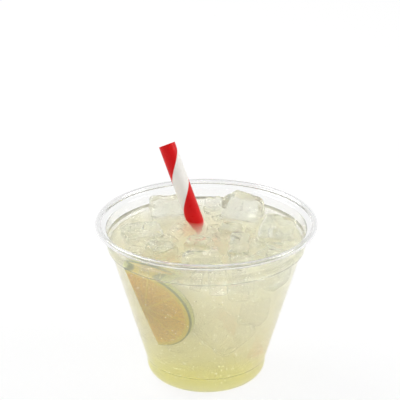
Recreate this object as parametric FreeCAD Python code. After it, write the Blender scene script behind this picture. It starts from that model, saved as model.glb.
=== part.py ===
"""Iced citrus drink in a clear cold cup, with a lime slice and a striped paper straw.

All sizes are in millimetres.  The origin is the centre of the cup's base on the
surface it stands on, +Z is up and -Y is the front.  Every separate piece is one
solid in its own STEP file: the thin-walled cup with its rolled rim, the drink up
to its level, the straw, the lime slice and each block of ice that breaks the
surface.
"""
import FreeCAD
import Part

import math
import os

# ---- cup: one thermoformed film, bent into base, wall, shoulder, band, ledge and rim ----
cup_height = 74.5
rim_diameter = 98.0
film = 0.45                    # thickness of the clear film
bead_width = 2.4               # rolled rim, measured across
bead_height = 2.4
bead_bend = 0.85               # radius of the roll's bends, at mid film
curl_gap = 0.35                # slot left between the roll's end and its start
ledge_width = 2.4              # shelf that carries a lid, from the band out to the roll
ledge_rise = 0.9
band_height = 8.2              # nearly upright band between the shoulder and the ledge
band_flare = 0.45              # how far the band widens over its height
shoulder_width = 1.4           # stacking shoulder under the band
shoulder_height = 0.9
wall_taper = 15.1              # outward growth of the wall, from the foot up to the shoulder
foot_height = 8.7              # short upright foot under the wall
foot_step = 0.5
base_corner = 5.4              # radius of the round corner at the base
ring_width = 1.6               # flat ring that the cup stands on
dome_height = 2.6              # the base is pushed up inside the ring
dome_slope = 3.0
dome_bend = 1.2
soft_bend = 0.5                # radius of the small bends at shoulder, ledge and foot

# ---- what fills it ----
headspace = 7.5                # from the rim's top down to the level
fill_gap = 0.15                # between the drink and what it touches
piece_gap = 0.35               # between one loose piece and the next

# ---- straw ----
straw_diameter = 7.7
straw_wall = 0.4
straw_tilt = 28.2              # degrees off upright
straw_heading = 137.4          # degrees from +X, the way its top leans
straw_foot_bearing = -14.91    # degrees from +X, where its foot stands
straw_foot_gap = 3.284         # from its foot's side to the upright foot of the wall
straw_rise = 36.2              # along its axis, above the level

# ---- lime slice: a wheel cut a little past its middle, leaning on the wall ----
lime_radius = 21.0
lime_thickness = 5.0
lime_past_middle = 2.4         # from the wheel's middle to the straight cut
lime_bearing = -27.5           # degrees from the front towards +X
lime_lean = 16.4               # degrees off upright, like the wall
lime_roll = 16.0               # degrees that the round side is turned up
lime_shift = -12.6             # sideways, along the wall
lime_depth = 24.4              # of the wheel's middle below the level
rind_round = 0.9               # rounded edge of the rind
segment_count = 9
segment_groove = 0.5
segment_inner = 2.6            # grooves run from here out to the pith
pith_width = 2.2

# ---- ice blocks that break the surface ----
# The blocks fill a cup whose inner radius at the level is ice_room.  They shrink and
# spread with the cup.  Each has its centre x and y, height of the top over the level,
# size, (yaw, lean, the way it leans) in degrees, and radius of the melted edges.
ice_room = 43.957
ice_blocks = {
    "ice_back_left": ((-18.0, 26.6), 7.4, (18.0, 14.0, 20.0), (12, 6, 80), 3.0),
    "ice_back_middle": ((3.4, 34.0), 4.4, (11.0, 9.0, 15.0), (10, 8, 90), 3.8),
    "ice_back_right": ((16.2, 24.4), 9.8, (20.0, 17.0, 24.0), (-28, 8, -20), 4.4),
    "ice_right": ((31.0, 5.0), 6.0, (17.0, 19.0, 21.0), (-14, 7, -20), 3.2),
    "ice_right_front": ((27.6, -18.4), 1.8, (15.0, 14.0, 16.0), (-38, 10, -36), 3.4),
    "ice_middle_right": ((14.6, -10.0), 3.0, (11.5, 22.0, 18.0), (-6, 4, 200), 2.8),
    "ice_front": ((-2.2, -27.6), 5.0, (19.0, 13.0, 14.0), (8, 7, -95), 4.6),
    "ice_left": ((-28.2, 5.6), 2.2, (21.0, 20.0, 19.0), (10, 6, 172), 3.2),
    "ice_left_front": ((-19.8, -12.2), 2.4, (14.0, 13.0, 15.0), (26, 7, 35), 3.6),
    "ice_middle": ((-3.4, -6.4), 2.2, (13.0, 14.0, 15.0), (-18, 6, 120), 3.4),
    "ice_middle_back": ((11.0, 7.8), 2.8, (12.0, 8.0, 14.0), (-20, 8, -90), 2.6),
}
ice_draft = 0.92               # a block's top is a little smaller than its foot
dimple_share = 0.34            # of the block's narrow side: radius of the hollow in its top
dimple_depth = 1.1

rim_steps = 24                 # points taken along half of the slice's outline
up = FreeCAD.Vector(0, 0, 1)
origin = FreeCAD.Vector(0, 0, 0)


# ---- runs: (r, z) points with the radius of the bend at each ----
def unit(start, end):
    """Direction from one (r, z) point to another."""
    length = math.hypot(end[0] - start[0], end[1] - start[1])
    return ((end[0] - start[0]) / length, (end[1] - start[1]) / length)


def offset_run(run, distance):
    """Move a run sideways, to its left if distance is positive, with its bends kept parallel."""
    points = [point for point, _ in run]
    ways = [unit(start, end) for start, end in zip(points, points[1:])]
    moved = []
    for (point, bend), before, after in zip(run, ways[:1] + ways, ways + ways[-1:]):
        turn = before[0] * after[1] - before[1] * after[0]
        half = 1 + before[0] * after[0] + before[1] * after[1]
        corner = (point[0] - distance * (before[1] + after[1]) / half,
                  point[1] + distance * (before[0] + after[0]) / half)
        moved.append((corner, bend - math.copysign(distance, turn) if bend else 0))
    return moved


def vector(point):
    """An (r, z) point on the XZ half plane."""
    return FreeCAD.Vector(point[0], 0, point[1])


def line(start, end):
    """Straight edge between two (r, z) points."""
    return Part.LineSegment(vector(start), vector(end)).toShape()


def run_edges(run):
    """Edges along a run, with a tangent arc at each bend."""
    edges = []
    points = [point for point, _ in run]
    start = points[0]
    for before_point, (point, bend), after_point in zip(points, run[1:], points[2:]):
        before = unit(before_point, point)
        after = unit(point, after_point)
        if not bend:
            edges.append(line(start, point))
            start = point
            continue
        turn = math.acos(before[0] * after[0] + before[1] * after[1])
        reach = bend * math.tan(turn / 2)
        enter = (point[0] - before[0] * reach, point[1] - before[1] * reach)
        leave = (point[0] + after[0] * reach, point[1] + after[1] * reach)
        inward = unit(before, after)
        drop = bend * (1 / math.cos(turn / 2) - 1)
        middle = (point[0] + inward[0] * drop, point[1] + inward[1] * drop)
        edges.append(line(start, enter))
        edges.append(Part.Arc(vector(enter), vector(middle), vector(leave)).toShape())
        start = leave
    edges.append(line(start, points[-1]))
    return edges


def revolve(edges):
    """Solid of revolution of a closed set of edges about the cup's axis."""
    wire = Part.Wire(Part.__sortEdges__(edges))
    return Part.Face(wire).revolve(origin, up, 360)


# ---- cup ----
level = cup_height - headspace
half_film = film / 2
bead_top = cup_height - half_film
bead_low = cup_height - bead_height + half_film
bead_outer = rim_diameter / 2 - half_film
bead_inner = rim_diameter / 2 - bead_width + half_film
band_top = bead_inner - ledge_width
band_foot = band_top - band_flare
ledge_z = bead_low - ledge_rise
shoulder_z = ledge_z - band_height
wall_top = band_foot - shoulder_width
wall_foot = wall_top - wall_taper
foot_radius = wall_foot - foot_step
ring_inner = foot_radius - base_corner - ring_width

# Middle of the film from the axis outwards, up the wall and round the roll, each point
# with the radius of its bend.
film_run = [
    ((0, dome_height), 0),
    ((ring_inner - dome_slope, dome_height), dome_bend),
    ((ring_inner, half_film), dome_bend),
    ((foot_radius, half_film), base_corner),
    ((foot_radius, foot_height), soft_bend),
    ((wall_foot, foot_height + foot_step), soft_bend),
    ((wall_top, shoulder_z - shoulder_height), soft_bend),
    ((band_foot, shoulder_z), soft_bend),
    ((band_top, ledge_z), soft_bend),
    ((bead_inner, bead_low), soft_bend),
    ((bead_inner, bead_top), bead_bend),
    ((bead_outer, bead_top), bead_bend),
    ((bead_outer, bead_low), bead_bend),
    ((bead_inner + film + curl_gap, bead_low), 0),
]
band_foot_index = 7            # the run's point at the band's foot


def make_cup():
    """The film as one revolved shell, from the pushed-up base to the end of the roll."""
    outside = offset_run(film_run, -half_film)
    inside = offset_run(film_run, half_film)
    ends = [line(outside[i][0], inside[i][0]) for i in (0, -1)]
    return revolve(run_edges(outside) + run_edges(inside) + ends)


def on_line(low, high, z):
    """Radius at a height on the straight line through two (r, z) points."""
    return low[0] + (high[0] - low[0]) * (z - low[1]) / (high[1] - low[1])


def inner_radius(z):
    """Radius of the cup's inner face at a height on its wall or band."""
    points = [point for point, _ in offset_run(film_run, half_film)]
    low = band_foot_index if z > shoulder_z else band_foot_index - 2
    return on_line(points[low], points[low + 1], z)


def make_room(gap, top):
    """Everything inside the cup up to a height, a gap away from its inner face."""
    run = offset_run(film_run, half_film + gap)[:band_foot_index + 2]
    edge = on_line(run[-2][0], run[-1][0], top)
    run[-1] = ((edge, top), 0)
    lid = [line((edge, top), (0, top)), line((0, top), run[0][0])]
    return revolve(run_edges(run) + lid)


# ---- straw ----
def straw_direction():
    """Unit vector along the straw, upwards."""
    lean = math.radians(straw_tilt)
    heading = math.radians(straw_heading)
    return FreeCAD.Vector(math.sin(lean) * math.cos(heading),
                          math.sin(lean) * math.sin(heading), math.cos(lean))


def straw_foot():
    """Middle of the straw's lower end, where its lowest edge is a gap above the base."""
    drop = straw_diameter / 2 * math.sin(math.radians(straw_tilt))
    bearing = math.radians(straw_foot_bearing)
    distance = foot_radius - straw_foot_gap - straw_diameter / 2
    return FreeCAD.Vector(distance * math.cos(bearing), distance * math.sin(bearing),
                          dome_height + half_film + piece_gap + drop)


def make_rod(radius, above):
    """Solid rod round the straw's axis, from its foot to a length above the level."""
    foot = straw_foot()
    direction = straw_direction()
    length = (level - foot.z) / direction.z + above
    return Part.makeCylinder(radius, length, foot, direction)


def make_straw():
    """Paper tube, open at both ends."""
    outside = make_rod(straw_diameter / 2, straw_rise)
    return outside.cut(make_rod(straw_diameter / 2 - straw_wall, straw_rise))


# ---- lime slice ----
def lime_outline(radius, past_middle):
    """Angle either side of the round side's middle at which the straight cut meets the rind."""
    return math.pi / 2 + math.asin(past_middle / radius)


def lime_rim():
    """(radius, angle) of points along the round side and the straight cut."""
    half_angle = lime_outline(lime_radius, lime_past_middle)
    turns = [half_angle * (step / rim_steps - 1) for step in range(2 * rim_steps + 1)]
    rim = [(lime_radius, turn) for turn in turns]
    half_cut = lime_radius * math.sin(half_angle)
    for step in range(1, 2 * rim_steps):
        along = half_cut * (step / rim_steps - 1)
        rim.append((math.hypot(lime_past_middle, along), math.atan2(along, -lime_past_middle)))
    return rim


def lime_distance():
    """How far out the slice's front face can lie with the whole outline inside the wall."""
    lean = math.radians(lime_lean)
    reaches = []
    for radius, angle in lime_rim():
        angle += math.radians(lime_roll)
        across = lime_shift + radius * math.cos(angle)
        along = radius * math.sin(angle)
        wall = inner_radius(level - lime_depth + along * math.cos(lean)) - piece_gap
        reaches.append(math.sqrt(wall ** 2 - across ** 2) - along * math.sin(lean))
    return min(reaches)


def place_on_wall(shape):
    """Turn a slice made flat, face up at z = 0, to lean on the wall."""
    shape.rotate(origin, up, lime_roll)
    shape.translate(FreeCAD.Vector(lime_shift, 0, 0))
    shape.rotate(origin, FreeCAD.Vector(1, 0, 0), 90 + lime_lean)
    shape.translate(FreeCAD.Vector(0, -lime_distance(), level - lime_depth))
    shape.rotate(origin, up, lime_bearing)
    return shape


def make_slice(grow):
    """Wheel with a straight cut, its front face at z = grow, grown all round."""
    radius = lime_radius + grow
    half_angle = lime_outline(radius, lime_past_middle + grow)
    ends = [FreeCAD.Vector(radius * math.cos(a), radius * math.sin(a), grow)
            for a in (-half_angle, half_angle)]
    rim = Part.Arc(ends[0], FreeCAD.Vector(radius, 0, grow), ends[1]).toShape()
    cut = Part.LineSegment(ends[1], ends[0]).toShape()
    face = Part.Face(Part.Wire([rim, cut]))
    return face.extrude(FreeCAD.Vector(0, 0, -lime_thickness - 2 * grow))


def make_lime():
    """Slice with a rounded rind and grooves between the flesh segments on both faces."""
    body = make_slice(0)
    round_edges = [e for e in body.Edges
                   if isinstance(e.Curve, Part.Circle) and e.Length > lime_radius]
    body = body.makeFillet(rind_round, round_edges)
    reach = lime_radius - pith_width - segment_inner
    grooves = []
    for step in range(segment_count):
        angle = 360 / segment_count * (step + 0.5)
        for face_z in (0, -lime_thickness):
            bar = Part.makeBox(reach, segment_groove, segment_groove,
                               FreeCAD.Vector(segment_inner, -segment_groove / 2, face_z - segment_groove / 2))
            bar.rotate(origin, up, angle)
            grooves.append(bar)
    return place_on_wall(body.cut(Part.makeCompound(grooves)))


# ---- ice ----
def make_block(size, rounding):
    """Block on its own middle that narrows towards its top, with melted edges."""
    x, y, z = size
    top_x = x * ice_draft
    top_y = y * ice_draft
    block = Part.makeWedge(-x / 2, -z / 2, -y / 2, -top_y / 2, -top_x / 2,
                           x / 2, z / 2, y / 2, top_y / 2, top_x / 2)
    block.rotate(origin, FreeCAD.Vector(1, 0, 0), 90)
    return block.makeFillet(rounding, block.Edges)


def cut_dimple(block, size):
    """Hollow the top of a block the way a freezing mould leaves it."""
    mouth = min(size[0], size[1]) * dimple_share
    ball = (mouth ** 2 + dimple_depth ** 2) / (2 * dimple_depth)
    return block.cut(Part.makeSphere(ball, FreeCAD.Vector(0, 0, size[2] / 2 + ball - dimple_depth)))


def place_block(block, spot, top, turn):
    """Turn a block about its middle, lean it over and set its centre and highest point."""
    yaw, lean, bearing = turn
    bearing = math.radians(bearing)
    block.rotate(origin, up, yaw)
    block.rotate(origin, FreeCAD.Vector(-math.sin(bearing), math.cos(bearing), 0), lean)
    block.translate(FreeCAD.Vector(spot[0], spot[1], top - block.BoundBox.ZMax))
    return block


def make_ice(name, grow):
    """A placed ice block, hollowed on top, or grown all round to cut room for it."""
    spot, rise, size, turn, rounding = ice_blocks[name]
    spread = inner_radius(level) / ice_room
    spot = [side * spread for side in spot]
    size = [side * spread for side in size]
    rounding *= spread
    if grow:
        size = [side + 2 * grow for side in size]
        return place_block(make_block(size, rounding + grow), spot, level + rise + grow, turn)
    plain = place_block(make_block(size, rounding), spot, level + rise, turn)
    block = place_block(cut_dimple(make_block(size, rounding), size), spot, level + rise, turn)
    block.translate(FreeCAD.Vector(0, 0, plain.BoundBox.Center.z - block.BoundBox.Center.z))
    return block


def trim(block, room, others):
    """Cut a block back where it would reach the cup's wall or a piece placed before it."""
    if block.cut(room).Volume > 0:
        block = block.common(room)
    for other in others:
        if block.BoundBox.intersect(other.BoundBox) and block.common(other).Volume > 0:
            block = block.cut(other)
    return block


def write(name, shape):
    """Write one sub-part, after a check that it is one valid solid."""
    if len(shape.Solids) != 1 or not shape.isValid():
        raise ValueError(name + " is not one valid solid")
    shape.Solids[0].exportStep("parts/" + name + ".step")


def main():
    """Build every piece and cut the drink round what stands in it."""
    os.makedirs("parts", exist_ok=True)
    write("cup", make_cup())
    write("straw", make_straw())
    write("lime_slice", make_lime())
    drink = make_room(fill_gap, level)
    drink = drink.cut(make_rod(straw_diameter / 2 + fill_gap, straw_rise))
    drink = drink.cut(place_on_wall(make_slice(fill_gap)))
    room = make_room(piece_gap, level + cup_height)
    placed = [make_rod(straw_diameter / 2 + piece_gap, straw_rise),
              place_on_wall(make_slice(piece_gap))]
    for name in ice_blocks:
        write(name, trim(make_ice(name, 0), room, placed))
        placed.append(make_ice(name, piece_gap))
        drink = drink.cut(make_ice(name, fill_gap))
    write("drink", drink)


main()
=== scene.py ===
"""Iced citrus drink in a clear cold cup, with a lime slice and a striped paper straw.

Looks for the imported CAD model.  The cup, the drink, the straw, the lime slice and the
blocks of ice that break the surface stand in for the CAD solids of the same form.  What
is sunk in the drink is made here only: more ice, some of it shards that just break the
surface, richer juice that has settled, fine bubbles and pulp.

Lengths are in metres, except those of Bend and Block, of the sunk ice, and of the straw's
foot, which are in millimetres.  Every mesh holds its own place, with its object at the
origin.
"""
import logging
import math
from dataclasses import dataclass, field
from enum import Enum
from typing import Iterable, Sequence

import bpy
import numpy as np
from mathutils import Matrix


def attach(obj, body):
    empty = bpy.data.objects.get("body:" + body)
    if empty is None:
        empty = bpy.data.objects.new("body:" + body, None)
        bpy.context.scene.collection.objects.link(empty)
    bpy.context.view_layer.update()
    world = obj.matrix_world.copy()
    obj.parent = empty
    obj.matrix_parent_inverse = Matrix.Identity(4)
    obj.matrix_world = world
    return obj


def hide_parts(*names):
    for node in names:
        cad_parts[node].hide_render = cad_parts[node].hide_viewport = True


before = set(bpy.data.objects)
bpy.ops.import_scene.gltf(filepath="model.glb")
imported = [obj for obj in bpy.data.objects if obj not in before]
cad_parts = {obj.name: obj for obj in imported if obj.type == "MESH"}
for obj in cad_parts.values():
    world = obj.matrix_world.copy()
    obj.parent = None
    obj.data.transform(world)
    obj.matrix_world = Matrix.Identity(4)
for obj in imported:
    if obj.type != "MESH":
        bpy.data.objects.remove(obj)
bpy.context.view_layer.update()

MM = 0.001
LOG = logging.getLogger("iced_drink")

Array = np.ndarray
Pair = tuple[float, float]
Triple = tuple[float, float, float]
Colour = tuple[float, float, float, float]
Piece = bpy.types.Object
Material = bpy.types.Material
Node = bpy.types.Node
Socket = bpy.types.NodeSocket


class Slot(Enum):
    """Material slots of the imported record."""

    PLASTIC = "clear_plastic"
    DRINK = "lemonade"
    ICE = "ice"
    PAPER = "striped_paper"
    LIME = "lime"


# ---------------------------------------------------------------- mesh helpers
def put_mesh(name: str, points: Array, faces: Sequence[Sequence[int]],
             corner_uv: Array | None = None) -> Piece:
    """Make a smooth-shaded object from points and faces.

    Args:
        name: the piece's name.
        points: (n, 3) places in metres.
        faces: vertex indices of each face, counter-clockwise seen from outside.
        corner_uv: (corners, 2) map, in the order of the faces' corners.

    Returns:
        The linked object, at the origin.
    """
    mesh = bpy.data.meshes.new(name)
    mesh.from_pydata(points.tolist(), [], faces)
    if corner_uv is not None:
        layer = mesh.uv_layers.new(name="Surface")
        layer.data.foreach_set("uv", corner_uv.astype(np.float32).ravel())
    mesh.polygons.foreach_set("use_smooth", np.ones(len(mesh.polygons), dtype=bool))
    mesh.update()
    piece = bpy.data.objects.new(name, mesh)
    bpy.context.scene.collection.objects.link(piece)
    return piece


def grid_faces(rows: int, columns: int, wrap_rows: bool = False) -> Array:
    """Quads of a grid whose columns close on themselves.

    Face (i, j) joins points (i, j), (i, j+1), (i+1, j+1), (i+1, j), counted modulo the
    columns, and modulo the rows too when the rows wrap.

    Args:
        rows: number of rows of points.
        columns: number of points in a row.
        wrap_rows: whether the last row joins the first.

    Returns:
        (faces, 4) indices.
    """
    last = rows if wrap_rows else rows - 1
    i, j = np.meshgrid(np.arange(last), np.arange(columns), indexing="ij")
    i2, j2 = (i + 1) % rows, (j + 1) % columns
    quads = np.stack([i * columns + j, i * columns + j2, i2 * columns + j2, i2 * columns + j], -1)
    return quads.reshape(-1, 4)


def capped_faces(rows: int, columns: int, turned_round: bool = False) -> tuple[Array, Array]:
    """Make the faces of rings of points, closed by a pole at each end.

    The poles are the two points after the rings: the first ring's, then the last's.

    Args:
        rows: number of rings.
        columns: number of points in a ring.
        turned_round: whether each face is listed the other way round.

    Returns:
        (m, 4) quads, and (n, 3) triangles of both fans.
    """
    first = rows * columns
    j = np.arange(columns)
    after = (j + 1) % columns
    top = first - columns
    low = np.stack([np.full(columns, first), after, j], -1)
    high = np.stack([np.full(columns, first + 1), top + j, top + after], -1)
    quads, fans = grid_faces(rows, columns), np.concatenate([low, high])
    return (quads[:, ::-1], fans[:, [0, 2, 1]]) if turned_round else (quads, fans)


def revolve(name: str, profile: Array, turns: int) -> Piece:
    """Turn an (r, z) profile round the Z axis.

    Point (i, j) is (r_i cos a_j, r_i sin a_j, z_i) with a_j = 2 pi j / turns.  The
    profile starts and ends on the axis, where a fan of triangles closes it.

    Args:
        name: the piece's name.
        profile: (n, 2) points, from the axis below and outside to the axis above or inside.
        turns: points round the axis.

    Returns:
        The closed piece, facing outwards.
    """
    angle = 2 * np.pi * np.arange(turns) / turns
    ring = np.stack([np.cos(angle), np.sin(angle)], -1)
    body = profile[1:-1]
    flat = body[:, None, :1] * ring[None]
    height = np.broadcast_to(body[:, None, 1:], flat.shape[:2] + (1,))
    points = np.concatenate([flat, height], -1).reshape(-1, 3)
    poles = np.array([[0, 0, profile[0, 1]], [0, 0, profile[-1, 1]]])
    quads, fans = capped_faces(len(body), turns)
    return put_mesh(name, np.concatenate([points, poles]), quads.tolist() + fans.tolist())


def turned(points: Array, axis: Sequence[float], degrees: float) -> Array:
    """Turn points about an axis through the origin, by Rodrigues' formula.

    Each point p becomes p cos t + (k x p) sin t + k (k . p)(1 - cos t).

    Args:
        points: (..., 3) places.
        axis: direction of the axis.
        degrees: the turn.

    Returns:
        The turned points.
    """
    k = np.asarray(axis, float)
    k = k / np.linalg.norm(k)
    t = math.radians(degrees)
    along = (points @ k)[..., None] * k
    return points * math.cos(t) + np.cross(k, points) * math.sin(t) + along * (1 - math.cos(t))


def ripple(points: Array, seed: int, wave: float, waves: int = 7) -> Array:
    """Smooth value between about -1 and 1 at each point.

    It is the mean of sines of the points' distance along random directions, times 0.7
    and the square root of their number.

    Args:
        points: (..., 3) places.
        seed: number that fixes the directions.
        wave: usual wavelength, in the points' units.
        waves: how many sines are added.

    Returns:
        One value a point.
    """
    rng = np.random.default_rng(seed)
    ways = rng.normal(size=(waves, 3))
    ways /= np.linalg.norm(ways, axis=1, keepdims=True)
    number = 2 * np.pi / (wave * rng.uniform(0.7, 1.5, waves))
    phase = rng.uniform(0, 2 * np.pi, waves)
    return np.sin(points @ (ways * number[:, None]).T + phase).mean(-1) * math.sqrt(waves) * 0.7


def ball() -> tuple[Array, Array]:
    """A small closed ball: an octahedron with each face split in four, pushed out to radius 1.

    Returns:
        (points, 3) and (faces, 3).
    """
    points = np.array([[1, 0, 0], [0, 1, 0], [-1, 0, 0], [0, -1, 0], [0, 0, 1], [0, 0, -1]], float)
    corners = points[np.array([[0, 1, 4], [1, 2, 4], [2, 3, 4], [3, 0, 4],
                               [1, 0, 5], [2, 1, 5], [3, 2, 5], [0, 3, 5]])]
    middles = (corners + np.roll(corners, -1, axis=1)) / 2
    a, b, c = (corners[:, k] for k in range(3))
    ab, bc, ca = (middles[:, k] for k in range(3))
    parts = np.stack([a, ab, ca, ab, b, bc, ca, bc, c, ab, bc, ca], 1).reshape(-1, 3)
    points, where = np.unique(parts.round(7), axis=0, return_inverse=True)
    return points / np.linalg.norm(points, axis=1, keepdims=True), where.reshape(-1, 3)


def scatter(name: str, centres: Array, radii: Array,
            squash: Array | None = None) -> Piece:
    """Many small balls as one piece.

    Args:
        name: the piece's name.
        centres: (n, 3) places.
        radii: (n,) sizes.
        squash: (n, 3) factors on each ball's radius along X, Y and Z.

    Returns:
        The joined piece.
    """
    shape, faces = ball()
    scale = radii[:, None] * (np.ones((len(centres), 3)) if squash is None else squash)
    points = (centres[:, None] + shape[None] * scale[:, None]).reshape(-1, 3)
    offsets = np.arange(len(centres))[:, None, None] * len(shape)
    return put_mesh(name, points, (faces[None] + offsets).reshape(-1, 3).tolist())


def carve(piece: Piece, tools: Iterable[Piece]) -> None:
    """Cut each tool out of the piece, and remove the tools."""
    bpy.context.view_layer.objects.active = piece
    for tool in tools:
        cut = piece.modifiers.new("cut", "BOOLEAN")
        cut.operation = "DIFFERENCE"
        cut.solver = "MANIFOLD"
        cut.object = tool
        bpy.ops.object.modifier_apply(modifier=cut.name)
        mesh = tool.data
        bpy.data.objects.remove(tool)
        bpy.data.meshes.remove(mesh)
    piece.data.polygons.foreach_set("use_smooth", np.ones(len(piece.data.polygons), dtype=bool))


# ---------------------------------------------------------------- material helpers
class Nodes:
    """Short calls that add nodes to a tree and join them."""

    def __init__(self, tree: bpy.types.NodeTree) -> None:
        """Keep the tree that the calls add to."""
        self.tree = tree

    def add(self, kind: str, inputs: dict | None = None, **settings: object) -> Node:
        """Add a node.

        Args:
            kind: the node's Blender type.
            inputs: value or source socket of each input, by name or number.
            settings: the node's own properties.

        Returns:
            The node.
        """
        node = self.tree.nodes.new(kind)
        for name, value in settings.items():
            setattr(node, name, value)
        self.fill(node, inputs or {})
        return node

    def fill(self, node: Node, inputs: dict) -> None:
        """Give a node's inputs, by name or number, their values or source sockets."""
        for name, value in inputs.items():
            if isinstance(value, Socket):
                self.tree.links.new(value, node.inputs[name])
            else:
                node.inputs[name].default_value = value

    def math(self, operation: str, *values: object) -> Socket:
        """Result of a Math node on values or sockets."""
        return self.add("ShaderNodeMath", dict(enumerate(values)), operation=operation).outputs[0]

    def smooth(self, value: Socket, low: float, high: float,
               to_low: float = 0.0, to_high: float = 1.0) -> Socket:
        """Value carried smoothly from low..high to to_low..to_high, and held outside them."""
        return self.add("ShaderNodeMapRange", {"Value": value, "From Min": low, "From Max": high,
                                               "To Min": to_low, "To Max": to_high},
                        interpolation_type="SMOOTHSTEP").outputs["Result"]

    def mix(self, factor: object, first: object, second: object) -> Socket:
        """Colour between two colours."""
        return self.add("ShaderNodeMix", {0: factor, 6: first, 7: second},
                        data_type="RGBA").outputs[2]

    def off_half(self, value: Socket) -> Socket:
        """Distance of a value from a half."""
        return self.math("ABSOLUTE", self.math("SUBTRACT", value, 0.5))

    def place(self, output: str = "Object") -> Socket:
        """A Texture Coordinate output."""
        return self.add("ShaderNodeTexCoord").outputs[output]

    def axis(self, number: int, output: str = "Object") -> Socket:
        """One coordinate of a Texture Coordinate output: 0 is X, 1 is Y and 2 is Z."""
        return self.add("ShaderNodeSeparateXYZ", {0: self.place(output)}).outputs[number]

    def noise(self, vector: Socket, scale: object, detail: float = 3.0,
              roughness: float = 0.5) -> Socket:
        """Noise value, 0 to 1."""
        return self.add("ShaderNodeTexNoise", {"Vector": vector, "Scale": scale, "Detail": detail,
                                               "Roughness": roughness}).outputs[0]

    def mottle(self, scale: float, detail: float, low: float, high: float, least: float,
               most: float) -> Socket:
        """Value from least to most, as a noise of the Object place goes from low to high."""
        return self.smooth(self.noise(self.place(), scale, detail), low, high, least, most)

    def bump(self, height: Socket, distance: float,
             strength: object = 1.0) -> Socket:
        """Normal from a height."""
        return self.add("ShaderNodeBump", {"Height": height, "Distance": distance,
                                           "Strength": strength}).outputs["Normal"]

    def clear(self, shader: Node, tint: Sequence[float], share: float, ior: float,
              rough: object, normal: Socket | None = None) -> None:
        """Make a shader clear.

        Args:
            shader: the Principled shader.
            tint: red, green and blue.
            share: how much of the light passes into the body.
            ior: how much the body bends light.
            rough: value or socket.
            normal: socket of an uneven skin.
        """
        self.fill(shader, {"Base Color": (*tint, 1), "Transmission Weight": share, "IOR": ior,
                           "Roughness": rough})
        if normal is not None:
            self.fill(shader, {"Normal": normal})


def rgba(red: float, green: float, blue: float) -> Colour:
    """Linear colour of an 8-bit display colour.

    Args:
        red: 0 to 255.
        green: 0 to 255.
        blue: 0 to 255.

    Returns:
        Linear red, green and blue with alpha 1.
    """
    shares = [value / 255 for value in (red, green, blue)]
    linear = [s / 12.92 if s <= 0.04045 else ((s + 0.055) / 1.055) ** 2.4 for s in shares]
    return (*linear, 1.0)


def grey(level: float) -> Colour:
    """Neutral colour of a level."""
    return (level, level, level, 1.0)


def new_material(name: str) -> tuple[Material, Nodes, Node, Node]:
    """Material with an empty tree but for its Principled shader and output.

    Args:
        name: the finish's name.

    Returns:
        The material, its node calls, the shader and the output.
    """
    material = bpy.data.materials.new(name)
    material.use_nodes = True
    nodes = Nodes(material.node_tree)
    shader = material.node_tree.nodes["Principled BSDF"]
    output = material.node_tree.nodes["Material Output"]
    return material, nodes, shader, output


def uneven_group() -> bpy.types.NodeTree:
    """Group that makes a wet or moulded surface slightly uneven.

    Two noises of the Object place, a broad one and a fine one, are weighed together.

    Returns:
        The group, with inputs Broad, Fine and Share, and output Height.
    """
    name = "uneven_surface"
    if name in bpy.data.node_groups:
        return bpy.data.node_groups[name]
    tree = bpy.data.node_groups.new(name, "ShaderNodeTree")
    for label, value in (("Broad", 60.0), ("Fine", 400.0), ("Share", 0.3)):
        socket = tree.interface.new_socket(label, in_out="INPUT", socket_type="NodeSocketFloat")
        socket.default_value = value
    tree.interface.new_socket("Height", in_out="OUTPUT", socket_type="NodeSocketFloat")
    nodes = Nodes(tree)
    start = nodes.add("NodeGroupInput")
    where = nodes.place()
    broad, fine = (nodes.noise(where, start.outputs[label], 2.0) for label in ("Broad", "Fine"))
    blend = nodes.add("ShaderNodeMix", {0: start.outputs["Share"], 2: broad, 3: fine})
    nodes.add("NodeGroupOutput", {"Height": blend.outputs[0]})
    return tree


def uneven(nodes: Nodes, broad: float, fine: float, share: float) -> Socket:
    """Height from the shared group of uneven surfaces, with this finish's own scales."""
    return nodes.add("ShaderNodeGroup", {"Broad": broad, "Fine": fine, "Share": share},
                     node_tree=uneven_group()).outputs["Height"]


@dataclass(frozen=True)
class ClearFilm:
    """Thermoformed clear plastic film."""

    tint: Triple = (0.955, 0.957, 0.955)
    ior: float = 1.5
    wave_depth: float = 0.000004
    haze_rough: float = 0.03
    rim_rough: float = 0.06
    rim_from: float = 0.0716
    rim_to: float = 0.0726

    def make(self) -> Material:
        """Clear plastic that is slightly wavy, and less polished at its rolled rim."""
        material, nodes, shader, _ = new_material("clear_film")
        rim = nodes.smooth(nodes.axis(2), self.rim_from, self.rim_to, 0.0, self.rim_rough)
        haze = nodes.mottle(90.0, 2.0, 0.45, 0.85, 0.0, self.haze_rough)
        bump = nodes.bump(uneven(nodes, 45.0, 220.0, 0.25), self.wave_depth)
        nodes.clear(shader, self.tint, 1.0, self.ior, nodes.math("ADD", haze, rim), bump)
        return material


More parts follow.
